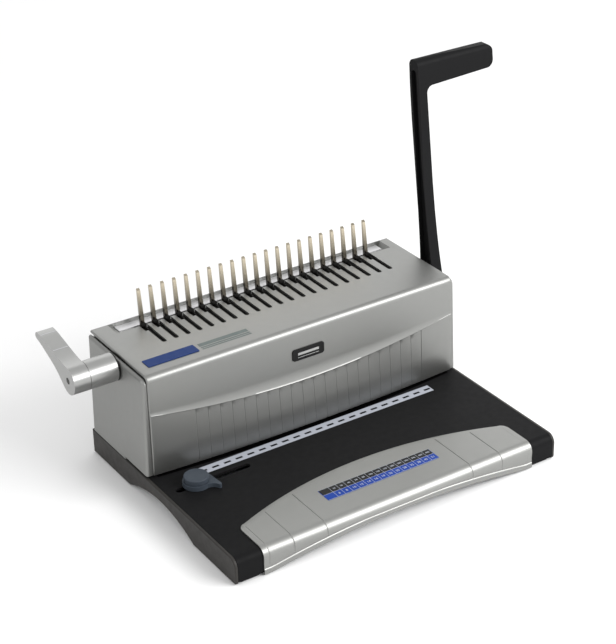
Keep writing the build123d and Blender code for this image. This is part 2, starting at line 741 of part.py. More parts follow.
def punch_handle():
    """Handle: hub on the drive shaft, an arm that leans back, and a cross grip at its top."""
    top = HANDLE_TOP
    front_edge = Spline((69.5, 88.0), (83.0, 137.0), (99.0, 240.0), (111.4, 358.0))
    rear_edge = Spline((127.2, 358.0), (114.7, 240.0), (104.0, 137.0), (103.4, 84.0))
    side = make_face(
        [
            front_edge,
            ThreePointArc((111.4, 358.0), (120.3, top), (127.2, 358.0)),
            rear_edge,
            Line((103.4, 84.0), (69.5, 88.0)),
        ]
    )
    side += Pos(DRIVE_Y, DRIVE_Z) * Circle(HANDLE_HUB_R)
    arm_out = 215.6
    under = 337.0
    inner_r = 8.0
    arm = make_face(
        [
            Line((HANDLE_IN, 60.0), (HANDLE_OUT, 60.0)),
            Line((HANDLE_OUT, 60.0), (HANDLE_OUT, 100.0)),
            Line((HANDLE_OUT, 100.0), (arm_out, under - inner_r)),
            ThreePointArc(
                (arm_out, under - inner_r),
                (arm_out + inner_r * (1 - COS45), under - inner_r * (1 - COS45)),
                (arm_out + inner_r, under),
            ),
            Line((arm_out + inner_r, under), (300.0, 340.0)),
            ThreePointArc((300.0, 340.0), (GRIP_END - 2.0, 343.0), (GRIP_END, 348.0)),
            Line((GRIP_END, 348.0), (GRIP_END, 357.5)),
            ThreePointArc((GRIP_END, 357.5), (GRIP_END - 2.0, 362.6), (300.0, 365.6)),
            Line((300.0, 365.6), (209.0, top + 0.5)),
            Line((209.0, top + 0.5), (HANDLE_IN, top + 0.5)),
            Line((HANDLE_IN, top + 0.5), (HANDLE_IN, 60.0)),
        ]
    )
    body = along_x(side, (199.0, 310.0)) & along_y(arm, (60.0, 140.0))
    body += rod_x(DRIVE_Y, DRIVE_Z, HANDLE_HUB_R, (199.0, HANDLE_IN + 2))
    channel = make_face(
        [
            Spline((82.0, 112.0), (86.0, 137.0), (101.6, 240.0), (114.2, 350.0)),
            ThreePointArc((114.2, 350.0), (119.0, 355.0), (123.4, 350.0)),
            Spline((123.4, 350.0), (112.2, 240.0), (101.4, 137.0), (99.0, 112.0)),
            Line((99.0, 112.0), (82.0, 112.0)),
        ]
    )
    body -= along_x(channel, (HANDLE_IN - 1, HANDLE_IN + 5.0))
    body -= rod_x(DRIVE_Y, DRIVE_Z, DRIVE_R, (198.0, 214.0))
    body -= rod_x(DRIVE_Y, DRIVE_Z, 4.0, (213.0, 220.0))
    return body


def handle_screw():
    """Screw in the end of the drive shaft; its head sits on the hub."""
    shank = rod_x(DRIVE_Y, DRIVE_Z, 4.0, (214.0, HANDLE_OUT))
    return shank + rod_x(DRIVE_Y, DRIVE_Z, 7.5, (HANDLE_OUT, 222.0))


def handle_cap():
    """Cap that snaps over the screw head."""
    cap = rod_x(DRIVE_Y, DRIVE_Z, 12.0, (HANDLE_OUT, 224.5))
    cap = fillet(cap.edges().sort_by(Axis.X)[-1], 1.5)
    return cap - rod_x(DRIVE_Y, DRIVE_Z, 7.8, (HANDLE_OUT - 1, 222.4))


# ---------------------------------------------------------------- comb opener
def opener_lever():
    """Lever arm: a round hub on the shaft and a curved arm that points back at rest."""
    join = math.radians(50)
    top = (OPENER_Y, OPENER_Z + HUB_R)
    under = (OPENER_Y + HUB_R * math.cos(join), OPENER_Z - HUB_R * math.sin(join))
    upper_points = [top, (114.0, 151.6), (142.0, 157.9), (154.0, 159.2)]
    lower_points = [(157.6, 151.6), (137.4, 144.9), (114.5, 134.2), under]
    leave = (-math.sin(join), -math.cos(join))
    arm = make_face(
        [
            Spline(*upper_points, tangents=[(1, 0), (1, 0)]),
            ThreePointArc(upper_points[-1], (158.4, 156.6), lower_points[0]),
            Spline(*lower_points, tangents=[(-1, -0.2), leave]),
            ThreePointArc(under, (OPENER_Y - HUB_R, OPENER_Z), top),
        ]
    )
    lever = along_x(arm, LEVER_X)
    lever -= rod_x(OPENER_Y, OPENER_Z, OPENER_R, (-239.0, -228.0))
    lever -= rod_x(OPENER_Y, OPENER_Z, 3.6, (-248.0, -242.5))
    return lever - rod_x(OPENER_Y, OPENER_Z, 2.5, (-243.0, -238.0))


def opener_screw():
    """Screw through the lever's hub into the shaft end, sunk in its hole."""
    head = rod_x(OPENER_Y, OPENER_Z, 3.5, (-245.0, -242.5))
    return head + rod_x(OPENER_Y, OPENER_Z, 2.5, (-242.5, -239.0))


def opener_collar():
    return rod_x(OPENER_Y, OPENER_Z, HUB_R, COLLAR_X) - rod_x(OPENER_Y, OPENER_Z, OPENER_R, (-230.0, -196.0))


def opener_seal_ring():
    x = (COLLAR_X[1], -195.6)
    return rod_x(OPENER_Y, OPENER_Z, HUB_R, x) - rod_x(OPENER_Y, OPENER_Z, OPENER_R, (-199.0, -195.0))


def opener_shaft():
    return rod_x(OPENER_Y, OPENER_Z, OPENER_R, (-239.0, 181.0))


def opener_ring():
    x = (178.4, 179.6)
    return rod_x(OPENER_Y, OPENER_Z, 7.5, x) - rod_x(OPENER_Y, OPENER_Z, OPENER_R, (178.0, 182.0))


def opener_pinions():
    outline = gear_outline(OPENER_TEETH, 9.1, 11.1, 0.85, 0.34, math.pi / 2)
    wheels = []
    for x in both_sides((WINDOW_X[0] + 0.5, WINDOW_X[1] - 0.5)):
        wheel = along_x(Pos(OPENER_Y, OPENER_Z) * outline, x)
        wheels.append(wheel - rod_x(OPENER_Y, OPENER_Z, OPENER_R, (-200.0, 200.0)))
    return wheels


def hook_slide():
    """Sliding plate under the top cover; the pinions' teeth run in its rows of windows."""
    window_pitch = 2 * math.pi * OPENER_PITCH_R / OPENER_TEETH
    half_rib = 0.53
    rear = OPENER_Y + 11.5 * window_pitch + half_rib
    plate = block((-SLIDE_X, SLIDE_X), (SLIDE_FRONT, rear), SLIDE_Z)
    windows = []
    for i in range(-2, 12):
        y = OPENER_Y + i * window_pitch
        half = window_pitch / 2 - half_rib
        for x in both_sides(WINDOW_X):
            windows.append(block(x, (y - half, y + half), (SLIDE_Z[0] - 1, SLIDE_Z[1] + 1)))
    return plate - windows


def opening_hook(x):
    """Hook riveted on the slide: it stands in its slot and reaches sideways under the comb's ring."""
    foot_z = 146.0
    hook = block((x - 1.1, x + 1.1), (116.0, HOOK_Y[1]), (SLIDE_Z[1], foot_z))
    hook += block((x - 1.1, x + 1.1), HOOK_Y, (foot_z, HOOK_TOP))
    return hook + block((x - 4.3, x - 1.1), HOOK_Y, (147.3, HOOK_TOP))


# ---------------------------------------------------------------- edge guide
def edge_guide():
    """Stop for the sheets' left edge: a round body with a straight beak."""
    beak = make_face(
        [
            Line((-150.0, -1.0), (-143.6, -7.4)),
            Line((-143.6, -7.4), (-141.8, -29.6)),
            ThreePointArc((-141.8, -29.6), (-143.0, -31.2), (-145.2, -30.6)),
            ThreePointArc((-145.2, -30.6), (-149.6, -25.2), (-157.0, -24.0)),
            Line((-157.0, -24.0), (-150.0, -1.0)),
        ]
    )
    body = along_z(beak + Pos(GUIDE_X, GUIDE_Y) * Circle(14.6), (STRIP_TOP + 0.3, 34.2))
    return body - rod_z(GUIDE_X, GUIDE_Y, GUIDE_BOLT_R + RUN, (20.0, 40.0))


def guide_nut():
    nut = block((GUIDE_X - 7.0, GUIDE_X + 7.0), (GUIDE_Y - 5.0, GUIDE_Y + 5.0), (23.0, 26.2))
    return nut - rod_z(GUIDE_X, GUIDE_Y, GUIDE_BOLT_R + RUN, (20.0, 30.0))


def guide_knob():
    knob = rod_z(GUIDE_X, GUIDE_Y, 12.3, (34.3, 36.0)) + rod_z(GUIDE_X, GUIDE_Y, 13.0, (35.6, 40.0))
    knob = fillet(knob.edges().sort_by(Axis.Z)[-1], 0.8)
    return knob - rod_z(GUIDE_X, GUIDE_Y, GUIDE_BOLT_R, (34.0, 38.0))


def guide_bolt():
    return rod_z(GUIDE_X, GUIDE_Y, GUIDE_BOLT_R, (21.5, 38.0))


# ---------------------------------------------------------------- write every node
os.makedirs("parts", exist_ok=True)

save("base_table", base_table())
save("left_cheek", cheek(-1))
save("right_cheek", cheek(1))
save("front_fascia", front_fascia())
save("bottom_plate", bottom_plate())
save("rear_skirt", rear_skirt())
save("rubber_feet", *[foot(x, y) for x, y in FEET])
save("foot_screws", *[foot_screw(x, y) for x, y in FEET])
save("hole_strip", hole_strip())
save("size_chart", size_chart())
save("chip_tray", chip_tray())

save("housing_cover", housing_cover())
save("left_end_cover", end_cover(-1))
save("right_end_cover", end_cover(1))
save("rear_cover", rear_cover())
save("rear_cover_screws", *[screw_y(x, z, REAR, 8.0, -1, r=1.8) for x, z in REAR_SCREWS])
save("comb_rest_strip", comb_rest_strip())
save("blue_plate", blue_plate())
save("grey_label", *grey_label())
save("front_badge", front_badge())

save("left_frame_plate", frame_plate(-1))
save("right_frame_plate", frame_plate(1))
save("frame_screws", *[screw_z(x, y, 20.4, 8.0) for x, y in frame_screw_points()])
save("die_plate", die_plate())
save("stripper_plate", stripper_plate())
save("paper_stop", paper_stop())
save("upper_crossbar", upper_crossbar())
save("plate_screws", *plate_screws())
save("guide_rods", *guide_rods())
save("return_springs", return_spring(-ROD_X), return_spring(ROD_X))
save("comb_fingers", *[comb_finger(x) for x in FINGER_XS])
save("finger_bar", finger_bar())
save("drive_bushes", *drive_bushes())
save("opener_bushes", *opener_bushes())
save("slide_rails", *slide_rails())

save("punch_bar", punch_bar())
save("punch_pins", *punch_pins())
save("drive_racks", *drive_racks())
save("rack_screws", *rack_screws())
save("drive_pinions", *drive_pinions())
save("drive_shaft", drive_shaft())
save("drive_ring", drive_ring())
save("handle_spacer", handle_spacer())
save("punch_handle", punch_handle())
save("handle_screw", handle_screw())
save("handle_cap", handle_cap())

save("opener_lever", opener_lever())
save("opener_screw", opener_screw())
save("opener_collar", opener_collar())
save("opener_seal_ring", opener_seal_ring())
save("opener_shaft", opener_shaft())
save("opener_ring", opener_ring())
save("opener_pinions", *opener_pinions())
save("hook_slide", hook_slide())
save("opening_hooks", *[opening_hook(x) for x in FINGER_XS])

save("edge_guide", edge_guide())
save("guide_nut", guide_nut())
save("guide_knob", guide_knob())
save("guide_bolt", guide_bolt())
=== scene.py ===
import math

import bmesh
import bpy
from mathutils import Matrix, Vector


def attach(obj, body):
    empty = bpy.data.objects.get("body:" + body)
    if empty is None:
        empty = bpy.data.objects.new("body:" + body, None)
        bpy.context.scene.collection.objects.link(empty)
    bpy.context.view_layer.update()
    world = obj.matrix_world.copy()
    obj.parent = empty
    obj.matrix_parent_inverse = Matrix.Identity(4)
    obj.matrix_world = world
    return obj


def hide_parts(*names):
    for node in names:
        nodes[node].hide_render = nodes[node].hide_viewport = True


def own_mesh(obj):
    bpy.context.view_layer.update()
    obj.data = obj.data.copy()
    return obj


# The looks of a comb binding machine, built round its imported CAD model.
# Lengths below are in millimetres, unless a comment says metres, and MM turns them into metres.

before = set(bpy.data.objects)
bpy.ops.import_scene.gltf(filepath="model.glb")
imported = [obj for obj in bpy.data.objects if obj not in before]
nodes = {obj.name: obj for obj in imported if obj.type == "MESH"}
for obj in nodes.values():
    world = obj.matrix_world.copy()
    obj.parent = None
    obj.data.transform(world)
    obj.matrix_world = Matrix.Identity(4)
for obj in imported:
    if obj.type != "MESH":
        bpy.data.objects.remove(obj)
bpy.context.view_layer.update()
MM = 0.001

PITCH = 14.2875  # comb pitch
COUNT = 21
FINGER_CENTRE = 4.8
FINGER_XS = [FINGER_CENTRE + PITCH * (i - COUNT // 2) for i in range(COUNT)]


# ---------------------------------------------------------------- camera, floor and light
CAMERA_PLACE = (-0.9019, -1.3852, 1.0561)  # metres
CAMERA_AZIMUTH = -32.648
CAMERA_ELEVATION = 28.402
CAMERA_ROLL = -1.3209
CAMERA_LENS = 101.98
LIGHT_TARGET = (0.0, 0.0, 0.1)


def make_camera():
    azimuth = math.radians(CAMERA_AZIMUTH)
    elevation = math.radians(CAMERA_ELEVATION)
    roll = math.radians(CAMERA_ROLL)
    back = Vector(
        (
            math.sin(azimuth) * math.cos(elevation),
            -math.cos(azimuth) * math.cos(elevation),
            math.sin(elevation),
        )
    )
    level = Vector((math.cos(azimuth), math.sin(azimuth), 0.0))
    upright = back.cross(level)
    right = level * math.cos(roll) + upright * math.sin(roll)
    up = upright * math.cos(roll) - level * math.sin(roll)
    data = bpy.data.cameras.new("camera")
    data.lens = CAMERA_LENS
    data.sensor_width = 36.0
    data.clip_start = 0.05
    data.clip_end = 30.0
    camera = bpy.data.objects.new("camera", data)
    bpy.context.scene.collection.objects.link(camera)
    turn = Matrix((right, up, back)).transposed()
    camera.matrix_world = Matrix.Translation(CAMERA_PLACE) @ turn.to_4x4()
    bpy.context.scene.camera = camera


def make_area_light(name, place, size, power):
    """A white panel of light at place, aimed at the machine and not seen itself. Metres and watts."""
    data = bpy.data.lights.new(name, "AREA")
    data.shape = "RECTANGLE"
    data.size, data.size_y = size
    data.energy = power
    light = bpy.data.objects.new(name, data)
    light.visible_camera = False
    bpy.context.scene.collection.objects.link(light)
    aim = Vector(LIGHT_TARGET) - Vector(place)
    light.matrix_world = Matrix.Translation(place) @ aim.to_track_quat("-Z", "Y").to_matrix().to_4x4()


def make_studio():
    world = bpy.data.worlds.new("studio")
    world.use_nodes = True
    sky = world.node_tree.nodes["Background"]
    sky.inputs["Color"].default_value = (1.0, 1.0, 1.0, 1.0)
    sky.inputs["Strength"].default_value = 0.75
    bpy.context.scene.world = world
    bpy.context.scene.view_settings.view_transform = "Standard"
    make_area_light("nose_box", (0.76, -1.1, 0.98), (1.3, 0.7), 26.0)
    make_area_light("left_box", (-1.6, 0.1, 1.0), (0.8, 0.8), 4.0)
    make_area_light("top_box", (0.0, -0.3, 2.6), (3.0, 3.0), 3.0)
    make_area_light("back_box", (1.2, 1.9, 1.3), (2.4, 1.8), 12.0)
    bpy.ops.mesh.primitive_plane_add(size=16.0, location=(0.0, 0.0, 0.0))
    floor = bpy.context.object
    floor.name = "floor"
    floor.data.materials.append(surface("floor_white", (0.90, 0.90, 0.90), 0.9, tone=0.0, depth=0.0))


# ---------------------------------------------------------------- finishes
def link(tree, source, target):
    tree.links.new(source, target)


def noise(tree, scale, detail=2.0, stretch=(1.0, 1.0, 1.0)):
    place = tree.nodes.new("ShaderNodeTexCoord")
    mapping = tree.nodes.new("ShaderNodeMapping")
    mapping.inputs["Scale"].default_value = stretch
    texture = tree.nodes.new("ShaderNodeTexNoise")
    texture.inputs["Scale"].default_value = scale
    texture.inputs["Detail"].default_value = detail
    link(tree, place.outputs["Object"], mapping.inputs["Vector"])
    link(tree, mapping.outputs["Vector"], texture.inputs["Vector"])
    return texture.outputs["Fac"]


def spread(tree, value, low, high):
    """The noise value's middle stretch, from low to high."""
    scale = tree.nodes.new("ShaderNodeMapRange")
    scale.inputs["From Min"].default_value = 0.3
    scale.inputs["From Max"].default_value = 0.7
    scale.inputs["To Min"].default_value = low
    scale.inputs["To Max"].default_value = high
    link(tree, value, scale.inputs["Value"])
    return scale.outputs["Result"]


def surface(
    name,
    colour,
    rough,
    metallic=0.0,
    tone=0.05,
    tone_scale=16.0,
    grain=1400.0,
    depth=0.02,
    swing=0.05,
    stretch=(1.0, 1.0, 1.0),
    specular=0.5,
    tip=None,
):
    """A finish with uneven colour, uneven gloss and a fine grain. depth is the grain's height in mm.

    tip, if given, holds two heights and a lighter colour that the finish turns to between them: a painted
    reflection, lighter towards the top.
    """
    made = bpy.data.materials.new(name)
    made.use_nodes = True
    tree = made.node_tree
    shader = tree.nodes["Principled BSDF"]
    shader.inputs["Metallic"].default_value = metallic
    shader.inputs["Specular IOR Level"].default_value = specular
    patches = noise(tree, tone_scale, 3.0, stretch)
    mix = tree.nodes.new("ShaderNodeMix")
    mix.data_type = "RGBA"
    mix.inputs["A"].default_value = (*[c * (1.0 - tone) for c in colour], 1.0)
    mix.inputs["B"].default_value = (*[min(1.0, c * (1.0 + tone)) for c in colour], 1.0)
    link(tree, spread(tree, patches, 0.0, 1.0), mix.inputs["Factor"])
    link(tree, mix.outputs["Result"], shader.inputs["Base Color"])
    # Painted reflection: the colour lightens upwards between the tip's two heights.
    if tip:
        link(tree, lighten_upwards(tree, mix.outputs["Result"], *tip), shader.inputs["Base Color"])
    fine = noise(tree, grain, 2.0, stretch)
    gloss = spread(tree, noise(tree, grain / 12.0, 3.0, stretch), rough - swing, rough + swing)
    link(tree, gloss, shader.inputs["Roughness"])
    if depth > 0.0:
        bump = tree.nodes.new("ShaderNodeBump")
        bump.inputs["Strength"].default_value = 1.0
        bump.inputs["Distance"].default_value = depth * MM
        link(tree, fine, bump.inputs["Height"])
        link(tree, bump.outputs["Normal"], shader.inputs["Normal"])
    return made


def lighten_upwards(tree, colour, low, high, reflection_colour):
    """Painted reflection: the colour turns to a lighter one between two heights, in metres."""
    place = tree.nodes.new("ShaderNodeTexCoord")
    axes = tree.nodes.new("ShaderNodeSeparateXYZ")
    scale = tree.nodes.new("ShaderNodeMapRange")
    scale.inputs["From Min"].default_value = low
    scale.inputs["From Max"].default_value = high
    mix = tree.nodes.new("ShaderNodeMix")
    mix.data_type = "RGBA"
    mix.inputs["B"].default_value = (*reflection_colour, 1.0)
    link(tree, place.outputs["Object"], axes.inputs["Vector"])
    link(tree, axes.outputs["Z"], scale.inputs["Value"])
    link(tree, scale.outputs["Result"], mix.inputs["Factor"])
    link(tree, colour, mix.inputs["A"])
    return mix.outputs["Result"]


def make_finishes():
    """One finish for each material slot of the record, and two more: polished_strip and the near-black of
    the painted throat shadow.
    """
    black = (0.009, 0.009, 0.0095)
    silver = (0.30, 0.302, 0.292)
    paint = {"metallic": 0.9, "tone": 0.01, "swing": 0.015}
    drawn = {"metallic": 1.0, "stretch": (1.0, 1.0, 0.05), "swing": 0.02}
    return {
        "black_base": surface("black_base_plastic", black, 0.5, depth=0.02, grain=1700.0, specular=0.05),
        # Black oxide for the hooks, made near black and matt: partly the hooks' own finish, partly painted
        # shade of the slots they sit in.
        "black_oxide": surface("black_oxide_and_slot_shade", (0.008, 0.0075, 0.007), 0.7, depth=0.004, specular=0.1),
        "dark_cheek": surface("dark_cheek_plastic", (0.028, 0.026, 0.024), 0.5, depth=0.03, specular=0.25),
        "silver_housing": surface("silver_paint", (0.275, 0.277, 0.268), 0.44, depth=0.003, **paint),
        "silver_fascia": surface("silver_fascia_paint", silver, 0.44, depth=0.003, **paint),
        # The lever's silver is lighter than the housing's: painted light for the brighter top of its arm.
        "silver_lever": surface("silver_lever_paint_with_painted_light", (0.37, 0.372, 0.365), 0.36, depth=0.002, **paint),
        "black_handle": surface("black_handle_plastic", black, 0.5, depth=0.02, specular=0.06),
        "black_trim": surface("black_trim_plastic", (0.01, 0.01, 0.01), 0.4, depth=0.005, specular=0.15),
        "blue_plate": surface("blue_enamel", (0.008, 0.030, 0.130), 0.4, depth=0.003, specular=0.08),
        "chart_print": surface("chart_blue", (0.010, 0.045, 0.27), 0.45, depth=0.002, specular=0.15),
        "grey_print": surface("grey_ink", (0.08, 0.105, 0.10), 0.45, depth=0.004),
        "white_print": surface("white_ink", (0.38, 0.40, 0.45), 0.4, depth=0.002, specular=0.2),
        "bright_strip": surface(
            "bright_strip_film", (0.50, 0.505, 0.53), 0.4, tone=0.02, depth=0.003, specular=0.3
        ),
        "polished_strip": surface(
            "polished_strip", (0.55, 0.55, 0.56), 0.3, metallic=0.4, tone=0.02, depth=0.001, swing=0.02
        ),
        # Painted shadow: a near-black matt finish for the sheet that stands for the dark throat under the
        # housing.
        "liner": surface("painted_throat_shadow", (0.0015, 0.0015, 0.0015), 0.9, depth=0.03, specular=0.0),
        # The fingers' nickel, with a painted reflection that lightens it towards the tips.
        "nickel_steel": surface(
            "nickel_with_painted_reflection", (0.075, 0.066, 0.054), 0.24, tip=(0.150, 0.184, (0.46, 0.41, 0.32)), **drawn
        ),
        "rubber": surface("foot_rubber", (0.02, 0.02, 0.02), 0.75, depth=0.05),
        "knob_grey": surface("slate_plastic", (0.042, 0.052, 0.066), 0.5, depth=0.02, specular=0.25),
        "zinc_sheet": surface("zinc_plated_sheet", (0.55, 0.56, 0.57), 0.38, metallic=1.0, tone=0.08),
        "tool_steel": surface(
            "ground_tool_steel", (0.40, 0.40, 0.41), 0.25, metallic=1.0, stretch=(0.04, 1.0, 1.0)
        ),
        "spring_steel": surface("spring_wire", (0.35, 0.35, 0.36), 0.3, metallic=1.0),
        "bush_bronze": surface("sintered_bronze", (0.42, 0.26, 0.12), 0.42, metallic=1.0, depth=0.03),
        "screw_steel": surface("plated_screw", (0.50, 0.50, 0.50), 0.3, metallic=1.0),
        "white_plastic": surface("white_nylon", (0.75, 0.74, 0.70), 0.45),
        "smoke_plastic": surface("smoke_plastic", (0.07, 0.07, 0.075), 0.3),
    }


def paint_cad_nodes(finishes):
    for node in nodes.values():
        for holder in node.material_slots:
            holder.material = finishes[holder.material.name.split(".")[0]]


# ---------------------------------------------------------------- mesh helpers
def new_object(name, mesh, like, finish, body="frame"):
    """A new piece with its finish and its body; like names the CAD nodes it stands for."""
    piece = bpy.data.objects.new(name, mesh)
    bpy.context.scene.collection.objects.link(piece)
    mesh.materials.clear()
    mesh.materials.append(finish)
    if like:
        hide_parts(*like)
    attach(piece, body)
    return piece


def smooth(mesh, angle=32.0):
    """Smooth shading, with edges sharper than angle kept sharp."""
    for face in mesh.polygons:
        face.use_smooth = True
    mesh.set_sharp_from_angle(angle=math.radians(angle))


def add_bevel(piece, width):
    """Rounded sharp edges, width millimetres broad."""
    bevel = piece.modifiers.new("bevel", "BEVEL")
    bevel.width = width * MM
    bevel.segments = 2
    bevel.limit_method = "ANGLE"
    bevel.angle_limit = math.radians(35.0)
    bevel.harden_normals = True


def loft(name, stations, profile):
    """A closed sheet: profile(x) gives equally long lists of outer and inner (Y, Z) points."""
    points = []
    faces = []
    for x in stations:
        outer, inner = profile(x)
        for y, z in outer + inner[::-1]:
            points.append((x * MM, y * MM, z * MM))
    ring = len(points) // len(stations)
    for i in range(len(stations) - 1):
        for j in range(ring):
            k = (j + 1) % ring
            faces.append((i * ring + j, (i + 1) * ring + j, (i + 1) * ring + k, i * ring + k))
    last = (len(stations) - 1) * ring
    for j in range(ring // 2 - 1):
        faces.append((j, j + 1, ring - 2 - j, ring - 1 - j))
        faces.append((last + ring - 1 - j, last + ring - 2 - j, last + j + 1, last + j))
    mesh = bpy.data.meshes.new(name)
    mesh.from_pydata(points, [], faces)
    bm = bmesh.new()
    bm.from_mesh(mesh)
    bmesh.ops.recalc_face_normals(bm, faces=bm.faces)
    bm.to_mesh(mesh)
    bm.free()
    return mesh


def prism(bm, outline, low, high):
    """Add an upright prism of an (X, Y) outline, in millimetres, to a bmesh."""
    floor = [bm.verts.new((x * MM, y * MM, low * MM)) for x, y in outline]
    roof = [bm.verts.new((x * MM, y * MM, high * MM)) for x, y in outline]
    bm.faces.new(floor[::-1])
    bm.faces.new(roof)
    for i in range(len(outline)):
        k = (i + 1) % len(outline)
        bm.faces.new((floor[i], floor[k], roof[k], roof[i]))


def mesh_of(name, build):
    """A mesh made by build(bmesh)."""
    mesh = bpy.data.meshes.new(name)
    bm = bmesh.new()
    build(bm)
    bmesh.ops.recalc_face_normals(bm, faces=bm.faces)
    bm.to_mesh(mesh)
    bm.free()
    return mesh


def carve(mesh, tool, operation="DIFFERENCE"):
    """The mesh with another mesh cut away or joined on."""
    body = bpy.data.objects.new("carve_body", mesh)
    cutter = bpy.data.objects.new("carve_tool", tool)
    for helper in (body, cutter):
        bpy.context.scene.collection.objects.link(helper)
    cut = body.modifiers.new("cut", "BOOLEAN")
    cut.operation = operation
    cut.solver = "EXACT"
    cut.object = cutter
    bpy.context.view_layer.update()
    made = bpy.data.meshes.new_from_object(body.evaluated_get(bpy.context.evaluated_depsgraph_get()))
    for helper in (body, cutter):
        bpy.data.objects.remove(helper)
    return made


def rectangle(x, y):
    return [(x[0], y[0]), (x[1], y[0]), (x[1], y[1]), (x[0], y[1])]


def steps(low, high, count):
    return [low + (high - low) * i / count for i in range(count + 1)]


def arc_points(cy, cz, r, start, end, count):
    turns = [math.radians(a) for a in steps(start, end, count)]
    return [(cy + r * math.cos(a), cz + r * math.sin(a)) for a in turns]


def sag(x, half_chord, height):
    """Fall at x of a circular arc that falls by height at half_chord."""
    r = (half_chord * half_chord + height * height) / (2.0 * height)
    return r - math.sqrt(r * r - x * x)


def stations_with_grooves(low, high, grooves, half, pitch=6.0):
    """X stations every few millimetres, with four at each groove and two between neighbours."""
    marks = {low, high}
    for a, b in zip(grooves, grooves[1:]):
        if b - a < 3.0 * pitch:
            marks.update((a + (b - a) / 3.0, a + (b - a) / 1.5))
    for g in grooves:
        marks.update((g - half, g - half * 0.3, g + half * 0.3, g + half))
    count = int((high - low) / pitch)
    for x in steps(low, high, count):
        if all(abs(x - g) > 2.0 * pitch / 3.0 + half for g in grooves):
            marks.add(x)
    return sorted(m for m in marks if low <= m <= high)


def groove_depth(x, grooves, half, depth):
    for g in grooves:
        if abs(x - g) <= half * 0.31:
            return depth
    return 0.0


# ---------------------------------------------------------------- housing
COVER_X = (-190.3, 189.6)
COVER_WALL = 2.4
COVER_REAR = 147.2
COVER_TOP = 146.9
COVER_FRONT = 25.3
COVER_BOTTOM = 31.7
COVER_LEAN = 1.1
NOSE_R = 7.0
PANEL_FRONT = 17.2
PANEL_END = 24.1
PANEL_FLAT = (103.0, 23.9)  # height and middle Y where the leaning panel is almost straight
LIP_Z = 85.2  # the sharp lip over the panel, in the middle
LIP_RISE = 17.3  # and how much higher it is at its ends
SLOPE_RUN = (13.0, 3.5)  # height of the soft slope over the lip, in the middle and at the ends
PLEAT_STEP = 0.18  # each pleat of the lower panel slopes back by this much
PLEAT_GROOVE = 0.25
PLEAT_HALF = 0.4
END_ROUND = 1.2
TROUGH_X = (-170.5, 178.5)
TROUGH_Y = (125.0, 146.2)
TROUGH_Z = 141.9
TROUGH_SLOPE = 4.0  # how far the trough's ends lean in towards its floor
SLOT_TIP_R = 2.7
SLOT_TIP_Y = 83.2
SLOT_WIDE_Y = (112.0, 133.0)  # the wider part of each slot, round the finger


def front_wall_y(z):
    run = COVER_TOP - NOSE_R - COVER_BOTTOM
    return COVER_FRONT - COVER_LEAN * (COVER_TOP - NOSE_R - z) / run


def pleat(x):
    """How far the pleated panel lies behind its smooth front at x."""
    place = (x - FINGER_XS[0]) / PITCH
    if place < -0.05 or place > COUNT - 1 + 0.05:
        return 0.0
    part = place - math.floor(place + PLEAT_HALF / PITCH)
    back = PLEAT_STEP * (1.0 - max(0.0, part))
    if place > COUNT - 1 + 0.01:
        back = 0.0
    return back + groove_depth(x, FINGER_XS, PLEAT_HALF, PLEAT_GROOVE)


def panel_y(part, z):
    """The leaning panel's Y at height z; part is 0 in the middle and 1 at the ends."""
    low = PANEL_FRONT + (PANEL_END - PANEL_FRONT) * part
    high = PANEL_FLAT[1] + (PANEL_END - PANEL_FLAT[1]) * part
    return low + (high - low) * (z - COVER_BOTTOM) / (PANEL_FLAT[0] - COVER_BOTTOM)


def cover_profile(x):
    """The housing cover's section at x: the top, the round nose, the front wall, the lip and the panel."""
    wall = COVER_WALL
    cy = COVER_FRONT + NOSE_R
    cz = COVER_TOP - NOSE_R
    outer = [(COVER_REAR, COVER_TOP)]
    inner = [(COVER_REAR, COVER_TOP - wall)]
    outer += arc_points(cy, cz, NOSE_R, 90.0, 180.0, 12)
    inner += arc_points(cy, cz, NOSE_R - wall, 90.0, 180.0, 12)
    part = sag(x, 190.0, 1.0)
    lip_z = LIP_Z + LIP_RISE * part
    lip_y = panel_y(part, lip_z)
    run = SLOPE_RUN[0] + (SLOPE_RUN[1] - SLOPE_RUN[0]) * part
    start = front_wall_y(lip_z + run)
    for t in steps(0.0, 1.0, 8):
        z = lip_z + run * (1.0 - t)
        y = front_wall_y(z) + (lip_y - front_wall_y(lip_z)) * t * t
        outer.append((y, z))
        inner.append((start + wall, z))
    back = pleat(x)
    r = 0.45
    for t in steps(0.0, 1.0, 3):
        turn = math.radians(90.0 * t)
        outer.append((lip_y - r * math.sin(turn) + r * t, lip_z - r * (1 - math.cos(turn))))
        inner.append((start + wall, lip_z - 1.0 - t))
    for z in (lip_z - 1.2, lip_z - 6.0, 60.0, COVER_BOTTOM + 0.6, COVER_BOTTOM):
        ease = 0.35 if z == COVER_BOTTOM else 0.0
        y = panel_y(part, z)
        outer.append((y + back + ease, z))
        inner.append((y + wall + 0.8, z))
    gap = min(x - COVER_X[0], COVER_X[1] - x)
    if gap < END_ROUND:
        short = END_ROUND - gap
        inset = END_ROUND - math.sqrt(END_ROUND * END_ROUND - short * short)
        share = inset / wall
        outer = [
            (o[0] + (i[0] - o[0]) * share, o[1] + (i[1] - o[1]) * share) for o, i in zip(outer, inner)
        ]
    return outer, inner


def slot_outline(x):
    """One slot seen from above: narrow with a round front end, wider round the finger."""
    r = SLOT_TIP_R
    middle = x + 0.3
    near, far = SLOT_WIDE_Y
    turns = [math.pi * t for t in steps(0, 1, 8)]
    tip = [(middle - r * math.cos(a), SLOT_TIP_Y - r * math.sin(a)) for a in turns]
    right = [(middle + r, near), (x + 3.4, near), (x + 3.4, far)]
    left = [(x - 5.6, far), (x - 5.6, near), (middle - r, near)]
    return tip + right + left


